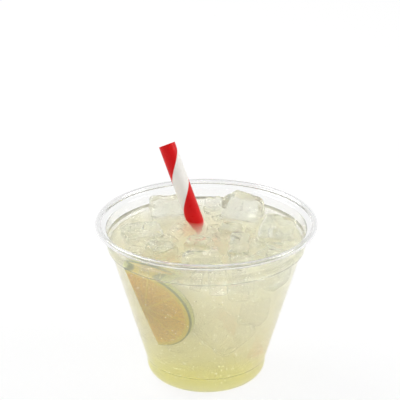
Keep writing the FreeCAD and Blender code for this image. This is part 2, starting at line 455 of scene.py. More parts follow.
@dataclass(frozen=True)
class CloudyJuice:
    """Pale cloudy lemonade."""

    name: str = "lemonade"
    ior: float = 1.333
    take_colour: Triple = (0.79, 0.75, 0.09)
    take_density: float = 11.0
    cloud_density: float = 100.0
    cloud_forward: float = 0.5
    wave_depth: float = 0.0009
    calm_share: float = 0.1
    calm_below: float = 0.0664
    lively_above: float = 0.0667

    def make(self) -> Material:
        """Clear body that takes blue out of the light and scatters some of it.

        Its skin is nearly calm on the wall, and lively at the free surface.
        """
        material, nodes, shader, output = new_material(self.name)
        rough = nodes.mottle(120.0, 2.0, 0.3, 0.8, 0.0, 0.05)
        lively = nodes.smooth(nodes.axis(2), self.calm_below, self.lively_above,
                              self.calm_share, 1.0)
        bump = nodes.bump(uneven(nodes, 110.0, 420.0, 0.25), self.wave_depth, lively)
        nodes.clear(shader, (1, 1, 1), 1.0, self.ior, rough, bump)
        take = nodes.add("ShaderNodeVolumeAbsorption",
                         {"Color": (*self.take_colour, 1), "Density": self.take_density})
        cloud = nodes.add("ShaderNodeVolumeScatter",
                          {"Color": (1, 1, 0.97, 1), "Density": self.cloud_density,
                           "Anisotropy": self.cloud_forward})
        both = nodes.add("ShaderNodeAddShader", {0: take.outputs[0], 1: cloud.outputs[0]})
        nodes.fill(output, {"Volume": both.outputs[0]})
        return material


@dataclass(frozen=True)
class WetIce:
    """Clear, slowly melting ice."""

    name: str = "wet_ice"
    tint: Triple = (0.93, 0.94, 0.91)
    clear: float = 0.86
    ior: float = 1.31
    depth: float = 0.0006
    cloud: float = 2.0

    def make(self) -> Material:
        """Clear ice with a wavy melted skin and a faint white cloud in it."""
        material, nodes, shader, output = new_material(self.name)
        rough = nodes.mottle(200.0, 3.0, 0.45, 0.8, 0.0, 0.12)
        bump = nodes.bump(uneven(nodes, 170.0, 520.0, 0.35), self.depth)
        nodes.clear(shader, self.tint, self.clear, self.ior, rough, bump)
        cloud = nodes.add("ShaderNodeVolumeScatter",
                          {"Color": grey(1.0), "Density": self.cloud, "Anisotropy": 0.3})
        nodes.fill(output, {"Volume": cloud.outputs[0]})
        return material


@dataclass(frozen=True)
class StripedPaper:
    """Red and white striped paper of a rolled straw."""

    pitch: float = 0.0345
    white_share: float = 0.43
    phase: float = 0.56
    twist: float = -1.0
    blur: float = 0.008
    soaked_from: float = 0.018
    soaked_to: float = 0.055
    soaked_share: float = 0.75
    fray: float = 0.012
    relief: float = 0.00006

    def make(self) -> Material:
        """Helical stripe from the straw's own map: u round it in turns, v along it in metres."""
        material, nodes, shader, _ = new_material("striped_paper")
        along = nodes.math("DIVIDE", nodes.axis(1, "UV"), self.pitch)
        around = nodes.math("MULTIPLY", nodes.axis(0, "UV"), self.twist)
        helix = nodes.math("ADD", along, around)
        edge = nodes.off_half(nodes.math("FRACT", nodes.math("ADD", helix, self.phase)))
        fibre = nodes.noise(nodes.place(), 900.0, 4.0, 0.7)
        jitter = nodes.math("MULTIPLY", nodes.math("SUBTRACT", fibre, 0.5), self.fray)
        half = self.white_share / 2
        white = nodes.smooth(nodes.math("ADD", edge, jitter), half - self.blur,
                             half + self.blur, 1.0, 0.0)
        soaked = nodes.smooth(nodes.axis(2), self.soaked_from, self.soaked_to,
                              self.soaked_share, 0.0)
        red = nodes.mix(fibre, rgba(206, 2, 6), rgba(224, 8, 12))
        red = nodes.mix(soaked, red, rgba(232, 206, 150))
        pale = nodes.mix(fibre, rgba(236, 232, 226), rgba(250, 248, 244))
        seam = nodes.math("FRACT", nodes.math("MULTIPLY", helix, 2.0))
        groove = nodes.smooth(nodes.off_half(seam), 0.0, 0.03)
        height = nodes.math("ADD", nodes.math("MULTIPLY", groove, 0.6),
                            nodes.math("MULTIPLY", fibre, 0.4))
        nodes.fill(shader, {"Base Color": nodes.mix(white, red, pale),
                            "Normal": nodes.bump(height, self.relief),
                            "Roughness": nodes.smooth(fibre, 0.3, 0.7, 0.26, 0.38),
                            "Coat Weight": 0.06, "Coat Roughness": 0.12,
                            "Specular IOR Level": 0.18})
        return material


@dataclass(frozen=True)
class LimeFlesh:
    """Lime slice: green rind, pale pith, juicy segments."""

    radius: float
    pith: float
    segments: int
    waver: float = 0.05
    walls: Pair = (0.012, 0.045)
    rind_from: float = 0.962
    rind_to: float = 0.98

    def make(self) -> Material:
        """Rings and segments from the slice's own map, which is its flat place in radii.

        The map passes 1 only on the side between the faces, which is paler than the rind.
        """
        material, nodes, shader, _ = new_material("lime")
        x, y = nodes.axis(0, "UV"), nodes.axis(1, "UV")
        flat = nodes.add("ShaderNodeCombineXYZ", {0: x, 1: y}).outputs[0]
        wobble = nodes.math(
            "MULTIPLY", nodes.math("SUBTRACT", nodes.noise(flat, 5.0, 2.0), 0.5), self.waver)
        true_radius = nodes.math("SQRT", nodes.math(
            "ADD", nodes.math("MULTIPLY", x, x), nodes.math("MULTIPLY", y, y)))
        radius = nodes.math("ADD", true_radius, wobble)
        angle = nodes.math("DIVIDE", nodes.math("ARCTAN2", y, x), 2 * math.pi / self.segments)
        sector = nodes.off_half(nodes.math("FRACT", nodes.math("ADD", angle, self.segments)))
        wall = nodes.smooth(nodes.math("MULTIPLY", sector, radius), *self.walls, 1.0, 0.0)
        stretched = nodes.add("ShaderNodeCombineXYZ", {0: nodes.math("MULTIPLY", radius, 5.0),
                                                       1: nodes.math("MULTIPLY", angle, 4.5)})
        cells = nodes.add("ShaderNodeTexVoronoi", {"Vector": stretched.outputs[0], "Scale": 1.6,
                                                   "Randomness": 0.9}, feature="DISTANCE_TO_EDGE")
        sac = nodes.smooth(cells.outputs["Distance"], 0.0, 0.18)
        ripe = nodes.smooth(nodes.noise(flat, 3.0, 2.0), 0.35, 0.7)
        juice = nodes.mix(sac, rgba(240, 206, 10), rgba(222, 172, 0))
        juice = nodes.mix(ripe, juice, rgba(222, 180, 8))
        flesh = nodes.mix(wall, juice, rgba(242, 218, 84))
        edge = 1 - self.pith / self.radius
        pith = nodes.smooth(radius, edge - 0.03, edge + 0.02)
        colour = nodes.mix(pith, flesh, rgba(224, 206, 64))
        speck = nodes.noise(nodes.place(), 500.0, 2.0)
        rind = nodes.mix(speck, rgba(16, 62, 0), rgba(56, 104, 6))
        side = nodes.mix(speck, rgba(176, 186, 90), rgba(204, 206, 122))
        rind = nodes.mix(nodes.smooth(true_radius, 1.01, 1.05), rind, side)
        height = nodes.math("MULTIPLY", nodes.math("SUBTRACT", sac, wall),
                            nodes.math("SUBTRACT", 1.0, pith))
        nodes.fill(shader, {
            "Base Color": nodes.mix(
                nodes.smooth(true_radius, self.rind_from, self.rind_to), colour, rind),
            "Normal": nodes.bump(height, 0.0003),
            "Roughness": nodes.smooth(sac, 0.0, 1.0, 0.45, 0.28),
            "Specular IOR Level": 0.12, "Subsurface Weight": 0.2, "Subsurface Scale": 0.003,
            "Subsurface Radius": (1.0, 0.8, 0.35)})
        return material


@dataclass(frozen=True)
class PulpFinish:
    """Soft flecks of fruit."""

    def make(self) -> Material:
        """Pale, slightly clear flecks."""
        material, nodes, shader, _ = new_material("pulp")
        tone = nodes.noise(nodes.place(), 300.0, 2.0)
        nodes.fill(shader, {"Base Color": nodes.mix(tone, rgba(252, 249, 226), rgba(240, 234, 190)),
                            "Roughness": nodes.smooth(tone, 0.3, 0.7, 0.3, 0.6),
                            "Transmission Weight": 0.3, "IOR": 1.36})
        return material


@dataclass(frozen=True)
class BubbleFinish:
    """Air in drops of liquid or in ice, whose skin can glow white as a painted glint."""

    name: str
    ior: float
    clear: float = 1.0
    painted_glint_glow: float = 0.0

    def make(self) -> Material:
        """Bright skin of a tiny bubble, glowing white by its emission strength as a painted glint
        when that is above 0.
        """
        material, nodes, shader, _ = new_material(self.name)
        nodes.clear(shader, (1, 1, 1), self.clear, self.ior,
                    nodes.mottle(800.0, 3.0, 0.3, 0.7, 0.0, 0.06))
        nodes.fill(shader, {"Emission Color": grey(1.0), "Emission Strength": self.painted_glint_glow})
        return material


def dress(piece: Piece, material: Material, slot: Slot,
          *stands_for: str) -> Piece:
    """Give a piece its finish and its body, and hide the CAD nodes it stands for.

    Args:
        piece: the finished mesh object.
        material: its finish.
        slot: the record's slot that it belongs to; not used.
        stands_for: CAD nodes that it replaces.

    Returns:
        The piece.
    """
    piece.data.materials.clear()
    piece.data.materials.append(material)
    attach(piece, "root")
    if stands_for:
        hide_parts(*stands_for)
    LOG.info("%s: %d faces", piece.name, len(piece.data.polygons))
    return piece


# ---------------------------------------------------------------- the pieces
@dataclass(frozen=True)
class Bend:
    """A corner of the film's run: its middle's radius and height, and the radius of its bend."""

    radius: float
    height: float
    bend: float = 0.0


@dataclass
class ColdCup:
    """One thermoformed film, from the pushed-up base to the rolled rim."""

    film: float = 0.45 * MM
    turns: int = 224
    bend_steps: int = 6
    guard: float = 0.12 * MM
    span: float = 4.0 * MM
    wall_from: float = 22.0 * MM
    wall_top: float = 71.5 * MM
    run: tuple[Bend, ...] = (
        Bend(0.0, 2.6), Bend(16.975, 2.6, 1.2), Bend(19.975, 0.225, 1.2), Bend(26.975, 0.225, 5.4),
        Bend(26.975, 8.7, 0.5), Bend(27.475, 9.2, 0.5), Bend(42.575, 62.325, 0.5),
        Bend(43.975, 63.225, 0.5), Bend(44.425, 71.425, 0.5), Bend(46.825, 72.325, 0.5),
        Bend(46.825, 74.275, 0.85), Bend(48.775, 74.275, 0.85), Bend(48.775, 72.325, 0.85),
        Bend(47.625, 72.325),
    )
    middle: Array = field(init=False)
    normal: Array = field(init=False)

    def __post_init__(self) -> None:
        """Work out the middle line of the film once."""
        self.middle, self.normal = self.trace()

    def trace(self) -> tuple[Array, Array]:
        """Sample the film's middle line with its bends as tangent arcs.

        A straight stretch gets points a guard's length from its ends and one every span
        between, so that smooth shading stays true on it.  An arc of radius b between two
        stretches starts b tan(t/2) before the corner, where t is the turn.

        Returns:
            (n, 2) points and (n, 2) unit normals, to the left of the run.
        """
        corners = np.array([(b.radius, b.height) for b in self.run]) * MM
        ways = np.diff(corners, axis=0)
        ways /= np.linalg.norm(ways, axis=1, keepdims=True)
        points: list[Array] = []
        normals: list[Array] = []
        start = corners[0]
        for index, way in enumerate(ways):
            left = np.array([-way[1], way[0]])
            last = index == len(ways) - 1
            bend = 0.0 if last else self.run[index + 1].bend * MM
            after = way if last else ways[index + 1]
            turn = math.atan2(way[0] * after[1] - way[1] * after[0], float(way @ after))
            reach = bend * math.tan(abs(turn) / 2)
            end = corners[index + 1] - way * reach
            length = float(np.linalg.norm(end - start))
            guard = min(self.guard, length / 4)
            inner = np.linspace(guard, length - guard, max(2, int(length / self.span) + 1))
            steps = np.concatenate([[0.0], inner, [length]])
            points.append(start + steps[:, None] * way)
            normals.append(np.repeat(left[None], len(steps), 0))
            if bend:
                side = math.copysign(1.0, turn)
                centre = end + left * side * bend
                sweep = np.linspace(0, turn, self.bend_steps + 1)[1:-1]
                spoke = end - centre
                turned_spoke = np.stack([spoke[0] * np.cos(sweep) - spoke[1] * np.sin(sweep),
                                         spoke[0] * np.sin(sweep) + spoke[1] * np.cos(sweep)], -1)
                points.append(centre + turned_spoke)
                normals.append(-side * turned_spoke / bend)
                start = centre + np.array([spoke[0] * math.cos(turn) - spoke[1] * math.sin(turn),
                                           spoke[0] * math.sin(turn) + spoke[1] * math.cos(turn)])
            else:
                start = corners[index + 1]
        return np.concatenate(points), np.concatenate(normals)

    def face(self, offset: float) -> Array:
        """The run moved sideways, positive to the inside of the cup."""
        return self.middle + self.normal * offset

    def inner_radius(self, height: Array | float, offset: float = 0.0) -> Array:
        """Radius of the inner face at a height, moved inwards by an offset.

        Args:
            height: one or more heights.
            offset: distance to keep from the inner face.

        Returns:
            The radius at each height, on the wall or the band.
        """
        line = self.face(self.film / 2 + offset)
        wall = (line[:, 0] > self.wall_from) & (line[:, 1] < self.wall_top)
        return np.interp(height, line[wall, 1], line[wall, 0])

    def build(self, material: Material) -> Piece:
        """Revolve the film's outside and inside as one closed skin."""
        outside, inside = self.face(-self.film / 2), self.face(self.film / 2)
        profile = np.concatenate([outside, inside[::-1]])
        profile[[0, -1], 0] = 0.0
        piece = revolve("cold_cup", profile, self.turns)
        return dress(piece, material, Slot.PLASTIC, "cup")


@dataclass(frozen=True)
class Block:
    """One ice block: centre, height of its top over the level, size, turn and melted edge."""

    node: str
    spot: Pair
    rise: float
    size: Triple
    yaw: float
    lean: float
    bearing: float
    edge: float
    flat_share: float = 0.6
    draft: float = 0.08
    bowl_share: float = 0.68
    bowl_depth: float = 1.1

    @staticmethod
    def lattice(steps: int) -> tuple[Array, Array]:
        """Cube surface as welded lattice points and quads.

        Args:
            steps: squares along each side of a face.

        Returns:
            (n, 3) whole numbers from 0 to steps, and (m, 4) faces seen from outside.
        """
        a, b = np.meshgrid(np.arange(steps + 1), np.arange(steps + 1), indexing="ij")
        quads = grid_faces(steps + 1, steps + 1)
        keep = (np.arange(len(quads)) % (steps + 1)) < steps
        quads = quads[keep]
        sheets, faces = [], []
        for axis in range(3):
            for side in (0, steps):
                sheet = np.full((steps + 1, steps + 1, 3), side)
                sheet[..., (axis + 1) % 3], sheet[..., (axis + 2) % 3] = a, b
                sheets.append(sheet.reshape(-1, 3))
                way = quads if side == 0 else quads[:, ::-1]
                faces.append(way + len(faces) * (steps + 1) ** 2)
        points, where = np.unique(np.concatenate(sheets), axis=0, return_inverse=True)
        return points, where.reshape(-1)[np.concatenate(faces)]

    def surface(self, level: float, inset: float, steps: int, seed: int) -> tuple[Array, Array]:
        """Points and faces of the melted block, in its place.

        A lattice value u from -1 to 1 goes to the half side h as s = u (h - e) / f up to
        the edge's start at f, the flat share, and to h - e + e tan(a) beyond it, where a
        goes to 45 degrees.  The part of s beyond the inner box is then brought to length
        e, which rounds edges and corners.  The sides narrow by the draft towards the top,
        the top has a round hollow, and two ripples eat into the skin.

        Args:
            level: height of the drink's surface.
            inset: how far inside the block's own skin the surface lies.
            steps: squares along each side of a face.
            seed: number of the ripple.

        Returns:
            (n, 3) places and (m, 4) faces.
        """
        cells, faces = self.lattice(steps)
        u = cells / steps * 2 - 1
        half = np.array(self.size) * MM / 2
        edge = self.edge * MM
        inner = half - edge
        past = np.abs(u) - self.flat_share
        arc = np.tan(past / (1 - self.flat_share) * math.pi / 4)
        s = np.sign(u) * np.where(past < 0, np.abs(u) / self.flat_share * inner,
                                  inner + edge * arc)
        core = np.clip(s, -inner, inner)
        out = s - core
        out /= np.maximum(np.linalg.norm(out, axis=1, keepdims=True), 1e-12)
        skin = core + out * edge
        slow, quick = ripple(skin, seed, 8 * MM), ripple(skin, seed + 90, 3.5 * MM)
        melt = (0.55 * (1 + slow) + 0.2 * (1 + quick)).clip(0, 0.5 * self.edge) * MM
        points = core + out * (edge - inset - melt)[:, None]
        points[:, :2] *= 1 - self.draft * (points[:, 2:] / half[2] + 1) / 2
        mouth = min(half[0], half[1]) * self.bowl_share
        bowl = np.clip(1 - (points[:, 0] ** 2 + points[:, 1] ** 2) / mouth ** 2, 0, 1) ** 1.5
        points[:, 2] -= self.bowl_depth * MM * bowl * (out[:, 2] > 0.95)
        signs = np.array(np.meshgrid([-1, 1], [-1, 1], [-1, 1])).reshape(3, -1).T
        top = self.tipped(signs * inner * [1 - self.draft, 1 - self.draft, 1])[:, 2].max() + edge
        middle = [self.spot[0] * MM, self.spot[1] * MM, level + self.rise * MM - float(top)]
        return self.tipped(points) + middle, faces

    def tipped(self, points: Array) -> Array:
        """Points turned by the yaw, then leant towards the bearing."""
        way = math.radians(self.bearing)
        points = turned(points, (0, 0, 1), self.yaw)
        return turned(points, (-math.sin(way), math.cos(way), 0), self.lean)


@dataclass
class IceLoad:
    """Blocks that break the surface, shards between them, and blocks sunk below."""

    cup: ColdCup
    level: float
    overlap: float = 0.12 * MM
    steps: int = 20
    sunk_steps: int = 10
    wall_gap: float = 0.3 * MM
    blocks: tuple[Block, ...] = (
        Block("ice_back_left", (-18.0, 26.6), 7.4, (18.0, 14.0, 20.0), 12, 6, 80, 3.0),
        Block("ice_back_middle", (3.4, 34.0), 4.4, (11.0, 9.0, 15.0), 10, 8, 90, 3.8),
        Block("ice_back_right", (16.2, 24.4), 9.8, (20.0, 17.0, 24.0), -28, 8, -20, 4.4),
        Block("ice_right", (31.0, 5.0), 6.0, (17.0, 19.0, 21.0), -14, 7, -20, 3.2),
        Block("ice_right_front", (27.6, -18.4), 1.8, (15.0, 14.0, 16.0), -38, 10, -36, 3.4),
        Block("ice_middle_right", (14.6, -10.0), 3.0, (11.5, 22.0, 18.0), -6, 4, 200, 2.8),
        Block("ice_front", (-2.2, -27.6), 5.0, (19.0, 13.0, 14.0), 8, 7, -95, 4.6),
        Block("ice_left", (-28.2, 5.6), 2.2, (21.0, 20.0, 19.0), 10, 6, 172, 3.2),
        Block("ice_left_front", (-19.8, -12.2), 2.4, (14.0, 13.0, 15.0), 26, 7, 35, 3.6),
        Block("ice_middle", (-3.4, -6.4), 2.2, (13.0, 14.0, 15.0), -18, 6, 120, 3.4),
        Block("ice_middle_back", (11.0, 7.8), 2.8, (12.0, 8.0, 14.0), -20, 8, -90, 2.6),
    )
    low: tuple[Block, ...] = (
        Block("sunk", (5.0, -15.5), -20.5, (20.0, 16.0, 24.0), 20, 40, 200, 3.4),
        Block("sunk", (18.6, -19.4), -17.0, (12.0, 12.0, 15.0), -25, 12, -50, 3.0),
        Block("sunk", (13.6, -26.0), -3.0, (10.0, 9.0, 14.0), -14, 5, -70, 2.4),
        Block("sunk", (28.4, -4.0), -18.0, (9.0, 12.0, 14.0), -12, 6, -20, 2.8),
    )
    sunk_count: int = 12
    shard_count: int = 30
    tries: int = 9000
    seed: int = 4
    sunk_seed: int = 40
    ball_share: float = 0.62
    shard_sides: Pair = (5.5, 9.5)
    block_sides: Pair = (12.5, 16.5)
    block_heights: Pair = (25.0, 56.0)
    shard_rises: Pair = (-0.3, 1.3)
    edges: Pair = (0.18, 0.22)
    lime_middle: Triple = (-17.0, -24.5, 43.0)
    lime_room: float = 13.0
    straw_room: float = 4.0
    sunk: tuple[Block, ...] = field(init=False)

    def __post_init__(self) -> None:
        """Sink more blocks below the ones that break the surface."""
        self.sunk = self.sink()

    def sink(self) -> tuple[Block, ...]:
        """Drop blocks at random where they clear the wall, the straw, the slice and each other.

        A block is taken as a ball of a share of its side.  A try is kept if that ball
        lies inside the wall, is a little less than clear of every other block's ball,
        and stays off the straw and the slice.  The first third of the tries are shards,
        whose tops lie at the surface.  The larger blocks also keep out of the line of
        sight to the straw from the front.

        Returns:
            The listed blocks, then the ones kept.
        """
        rng = np.random.default_rng(self.seed)
        level = self.level / MM
        given = [(b, 0.52) for b in self.blocks] + [(b, 0.6) for b in self.low]
        spheres = [(np.array([*b.spot, level + b.rise - b.size[2] * share]),
                    0.55 * float(np.mean(b.size))) for b, share in given]
        straw = PaperStraw()
        axis, foot = straw.direction(), np.array(straw.foot)
        kept: list[Block] = list(self.low)
        for number in range(self.tries):
            shard = number < self.tries // 3
            side = rng.uniform(*(self.shard_sides if shard else self.block_sides))
            ball = self.ball_share * side
            z = level - rng.uniform(0.9, 1.1) * ball if shard else rng.uniform(*self.block_heights)
            room = float(self.cup.inner_radius((z - 0.6 * ball) * MM)) / MM - ball
            far, way = room * math.sqrt(rng.uniform(0.0, 1.0)), rng.uniform(0, 2 * math.pi)
            middle = np.array([far * math.cos(way), far * math.sin(way), z])
            turn = rng.uniform(0, 360, 2)
            lean = rng.uniform(5, 45)
            shape = rng.uniform(0.85, 1.1, 3)
            near = 0.7 if shard else 0.84
            clear = all(np.linalg.norm(middle - m) > near * (ball + r) for m, r in spheres)
            rise = rng.uniform(*self.shard_rises) if shard else min(z + ball * 0.9 - level, -0.5)
            past_lime = np.linalg.norm((middle - self.lime_middle) * [1, 1, 0.8]) - ball
            off = middle - foot
            off_straw = np.linalg.norm(off - axis * (off @ axis)) > 0.8 * ball + self.straw_room
            beside = off - axis * (off[2] / axis[2])
            hides = not shard and abs(beside[0]) < ball + 4.5 and beside[1] < ball
            full = shard and sum(b.size[1] < 10 for b in kept) > self.shard_count
            off_lime = past_lime > self.lime_room
            if clear and off_lime and off_straw and not hides and not full:
                spheres.append((middle, ball))
                kept.append(Block("sunk", (middle[0], middle[1]), rise, tuple(side * shape),
                                  turn[0], lean, turn[1], rng.uniform(*self.edges) * side))
            if len(kept) == len(self.low) + self.sunk_count + self.shard_count:
                break
        LOG.info("sunk blocks: %d", len(kept))
        return tuple(kept)

    def trimmed(self, block: Block, inset: float, steps: int, seed: int) -> tuple[Array, Array]:
        """Surface of a block, pressed in where it would reach the wall.

        A point at radius r and height z is moved to radius min(r, R(z) - gap - inset),
        where R is the radius of the film's inner face.

        Args:
            block: the block.
            inset: how far inside the block's own skin the surface lies.
            steps: squares along each side of a face.
            seed: number of the ripple.

        Returns:
            (n, 3) places and (m, 4) faces.
        """
        points, faces = block.surface(self.level, inset, steps, seed)
        far = np.maximum(np.hypot(points[:, 0], points[:, 1]), 1e-9)
        room = self.cup.inner_radius(points[:, 2], self.wall_gap + inset)
        points[:, :2] *= np.minimum(1.0, room / far)[:, None]
        return points, faces

    def skins(self, inset: float) -> list[tuple[Array, Array]]:
        """Trimmed surfaces of the blocks that break the surface, then of the sunk ones."""
        shown = [self.trimmed(block, inset, self.steps, number)
                 for number, block in enumerate(self.blocks)]
        return shown + [self.trimmed(block, inset, self.sunk_steps, self.sunk_seed + number)
                        for number, block in enumerate(self.sunk)]

    def build(self, finish: Material, sunk_finish: Material) -> None:
        """Make each surface block as its own piece, and the sunk ones as one piece."""
        skins = self.skins(0.0)
        for block, (points, faces) in zip(self.blocks, skins):
            piece = put_mesh(block.node + "_melted", points, faces.tolist())
            dress(piece, finish, Slot.ICE, block.node)
        parts = skins[len(self.blocks):]
        points = np.concatenate([part[0] for part in parts])
        starts = np.cumsum([0] + [len(part[0]) for part in parts[:-1]])
        faces = np.concatenate([part[1] + start for part, start in zip(parts, starts)])
        dress(put_mesh("sunk_ice", points, faces.tolist()), sunk_finish, Slot.ICE)

    def cores(self, material: Material, count: int) -> Piece:
        """Air frozen into the middle of each surface block, as long fine bubbles."""
        rng = np.random.default_rng(self.seed + 1)
        centres, radii, squash = [], [], []
        for block in self.blocks:
            half = np.array(block.size) * MM / 2
            middle = np.array([block.spot[0] * MM, block.spot[1] * MM,
                               self.level + block.rise * MM - half[2] * 1.05])
            centres.append(middle + rng.normal(0, 0.3, (count, 3)).clip(-0.62, 0.62) * half)
            radii.append(rng.uniform(0.09, 0.26, count) * MM)
            squash.append(rng.uniform(0.6, 1.2, (count, 1)) * [1, 1, rng.uniform(1.5, 3.0)])
        piece = scatter("ice_bubbles", np.concatenate(centres), np.concatenate(radii),
                        np.concatenate(squash))
        return dress(piece, material, Slot.ICE)

    def tools(self) -> list[Piece]:
        """Slightly smaller copies, which leave the drink reaching just into each block."""
        return [put_mesh("tool", points, faces.tolist())
                for points, faces in self.skins(self.overlap)]


@dataclass
class PaperStraw:
    """Rolled paper straw, open at both ends."""

    foot: Triple = (19.173, -5.105, 4.994)
    tilt: float = 28.2
    heading: float = 137.4
    length: float = 106.55 * MM
    radius: float = 3.85 * MM
    wall: float = 0.4 * MM
    soft: float = 0.06 * MM
    turns: int = 96
    rows: int = 40

    def direction(self) -> Array:
        """Unit vector along the straw, upwards."""
        lean, way = math.radians(self.tilt), math.radians(self.heading)
        return np.array([math.sin(lean) * math.cos(way), math.sin(lean) * math.sin(way),
                         math.cos(lean)])

    def tube(self, name: str, radii: Array, places: Array, closed: bool) -> Piece:
        """Carry a profile round the straw's axis.

        Point (i, j) is foot + v_i d + r_i (cos a_j p + sin a_j q), where d runs along
        the straw and p and q are square to it.  The map holds j / turns and v_i.

        Args:
            name: the piece's name.
            radii: r_i.
            places: v_i, distance along the axis.
            closed: whether the last row joins the first, else the ends are capped.

        Returns:
            The closed piece.
        """
        d = self.direction()
        p = np.cross(d, (0.0, 0.0, 1.0))
        p /= np.linalg.norm(p)
        q = np.cross(d, p)
        angle = 2 * np.pi * np.arange(self.turns) / self.turns
        spoke = np.cos(angle)[:, None] * p + np.sin(angle)[:, None] * q
        points = (np.array(self.foot) * MM + places[:, None, None] * d
                  + radii[:, None, None] * spoke[None]).reshape(-1, 3)
        rows = len(radii)
        faces = grid_faces(rows, self.turns, closed)
        listed = faces.tolist()
        i = np.arange(len(faces) // self.turns)
        k = np.arange(self.turns)
        shape = (len(i), self.turns, 4)
        around = np.stack([k, k + 1, k + 1, k], -1)[None] / self.turns
        after = (i + 1) % rows
        along = np.stack([places[i], places[i], places[after], places[after]], -1)[:, None]
        maps = np.stack([np.broadcast_to(around, shape), np.broadcast_to(along, shape)], -1)
        maps = maps.reshape(-1, 2)
        if not closed:
            listed += [k[::-1].tolist(), ((rows - 1) * self.turns + k).tolist()]
            maps = np.concatenate([maps, np.zeros((2 * self.turns, 2))])
        return put_mesh(name, points, listed, maps)

    def build(self, material: Material) -> Piece:
        """The paper tube, with softly cut ends."""
        soft, length, outer = self.soft, self.length, self.radius
        inner = outer - self.wall
        along = np.linspace(5 * soft, length - 5 * soft, self.rows)
        radii = np.concatenate([
            [outer - soft, outer], np.full(self.rows, outer), [outer, outer - soft],
            [inner + soft, inner], np.full(self.rows, inner), [inner, inner + soft]])
        places = np.concatenate([[0, soft], along, [length - soft, length],
                                 [length, length - soft], along[::-1], [soft, 0]])
        tube = self.tube("paper_straw", radii, places, True)
        return dress(tube, material, Slot.PAPER, "straw")

    def tool(self, overlap: float) -> Piece:
        """Rod that leaves the drink reaching just into the paper."""
        rows = np.linspace(-0.2 * MM, self.length, 12)
        return self.tube("tool", np.full(12, self.radius - overlap), rows, False)


@dataclass
class LimeSlice:
    """Wheel of lime with a straight cut, leaning on the wall."""

    radius: float = 21.0 * MM
    thick: float = 5.0 * MM
    past: float = 2.4 * MM
    pith: float = 2.2 * MM
    rind_round: float = 0.9 * MM
    segments: int = 9
    roll: float = 16.0
    shift: float = -12.6 * MM
    lean: float = 16.4
    bearing: float = -27.5
    distance: float = 30.7166 * MM
    depth: float = 24.4 * MM
    arc_points: int = 136
    cut_points: int = 40
    rings: int = 34
    middle_share: float = 0.42
    groove: float = 0.35 * MM
    rib: float = 0.3 * MM
    groove_side: float = 1.2 * MM
    groove_end: float = 1.5 * MM
    side_push: float = 0.1
    side_rings: int = 3

    def outline(self) -> Array:
        """Closed outline: the round side, then the straight cut, as (n, 2) points."""
        half = math.pi / 2 + math.asin(self.past / self.radius)
        arc = np.linspace(-half, half, self.arc_points)
        round_side = self.radius * np.stack([np.cos(arc), np.sin(arc)], -1)
        cut = np.linspace(round_side[-1], round_side[0], self.cut_points + 2)[1:-1]
        return np.concatenate([round_side, cut])

    def place(self, points: Array, level: float) -> Array:
        """Roll, shift and lean a slice made flat, face up at z = 0, on to the wall."""
        points = turned(points, (0, 0, 1), self.roll) + [self.shift, 0, 0]
        points = turned(points, (1, 0, 0), 90 + self.lean)
        points = points + [0, -self.distance, level - self.depth]
        return turned(points, (0, 0, 1), self.bearing)

    def shape(self, name: str, level: float, inset: float, rings: int) -> Piece:
        """Closed slice from rings of its outline, drawn in towards its middle.

        Ring k is c + f_k (outline - c) at height z_k.  The rings go out over the front
        face, round the rind and back over the rear face.  The flesh sinks a little
        between the thin walls of its segments.

        Args:
            name: the piece's name.
            level: height of the drink's surface.
            inset: how far inside the slice's own skin the surface lies.
            rings: rings over each face.

        Returns:
            The placed piece.  Its map is its flat place in radii, pushed out on the side
            between the faces.
        """
        outline = self.outline()
        centre = np.array([self.radius * self.middle_share, 0.0])
        span = self.radius * (1 - self.middle_share)
        reach = 1 - (self.rind_round + inset) / span
        turn = np.linspace(0, math.pi / 2, 6)
        share = reach + (1 - inset / span - reach) * np.sin(turn)
        depth = self.rind_round * (1 - np.cos(turn)) + inset
        out = np.linspace(1 / rings, reach, rings)
        across = np.linspace(depth[-1], self.thick - depth[-1], self.side_rings + 2)[1:-1]
        scale = np.concatenate([out, share[1:], np.full(self.side_rings, share[-1]),
                                share[::-1], out[::-1][1:]])
        heights = -np.concatenate([np.full(rings, inset), depth[1:], across,
                                   self.thick - depth[::-1],
                                   np.full(rings - 1, self.thick - inset)])
        flat = centre + scale[:, None, None] * (outline - centre)[None]
        far = np.linalg.norm(flat, axis=-1)
        angle = np.arctan2(flat[..., 1], flat[..., 0]) * self.segments / (2 * math.pi)
        wall = np.abs(angle % 1 - 0.5) * 2 * far * math.pi / self.segments
        sunk = np.clip((wall - self.rib) / self.groove_side, 0, 1) * np.clip(
            (self.radius - self.pith - far) / self.groove_end, 0, 1)
        side = np.where(heights > -self.thick / 2, -1.0, 1.0)[:, None]
        z = heights[:, None] + side * self.groove * sunk
        dip = inset + 0.3 * MM
        poles = np.array([[centre[0], 0, -dip], [centre[0], 0, dip - self.thick]])
        points = np.concatenate([np.concatenate([flat, z[..., None]], -1).reshape(-1, 3), poles])
        quads, fans = capped_faces(len(scale), len(outline), True)
        hidden = np.minimum(-points[:, 2], self.thick + points[:, 2]) - self.rind_round
        outwards = 1 + self.side_push * np.clip(hidden / (0.8 * MM), 0, 1)
        flat_map = points[:, :2] * outwards[:, None] / self.radius
        maps = flat_map[np.concatenate([quads.ravel(), fans.ravel()])]
        return put_mesh(name, self.place(points, level), quads.tolist() + fans.tolist(), maps)

    def build(self, level: float, material: Material) -> Piece:
        """The slice itself."""
        wheel = self.shape("lime_wheel", level, 0.0, self.rings)
        return dress(wheel, material, Slot.LIME, "lime_slice")

    def tool(self, level: float, overlap: float) -> Piece:
        """Slightly smaller slice, which leaves the drink reaching just into the fruit."""
        return self.shape("tool", level, overlap, 8)


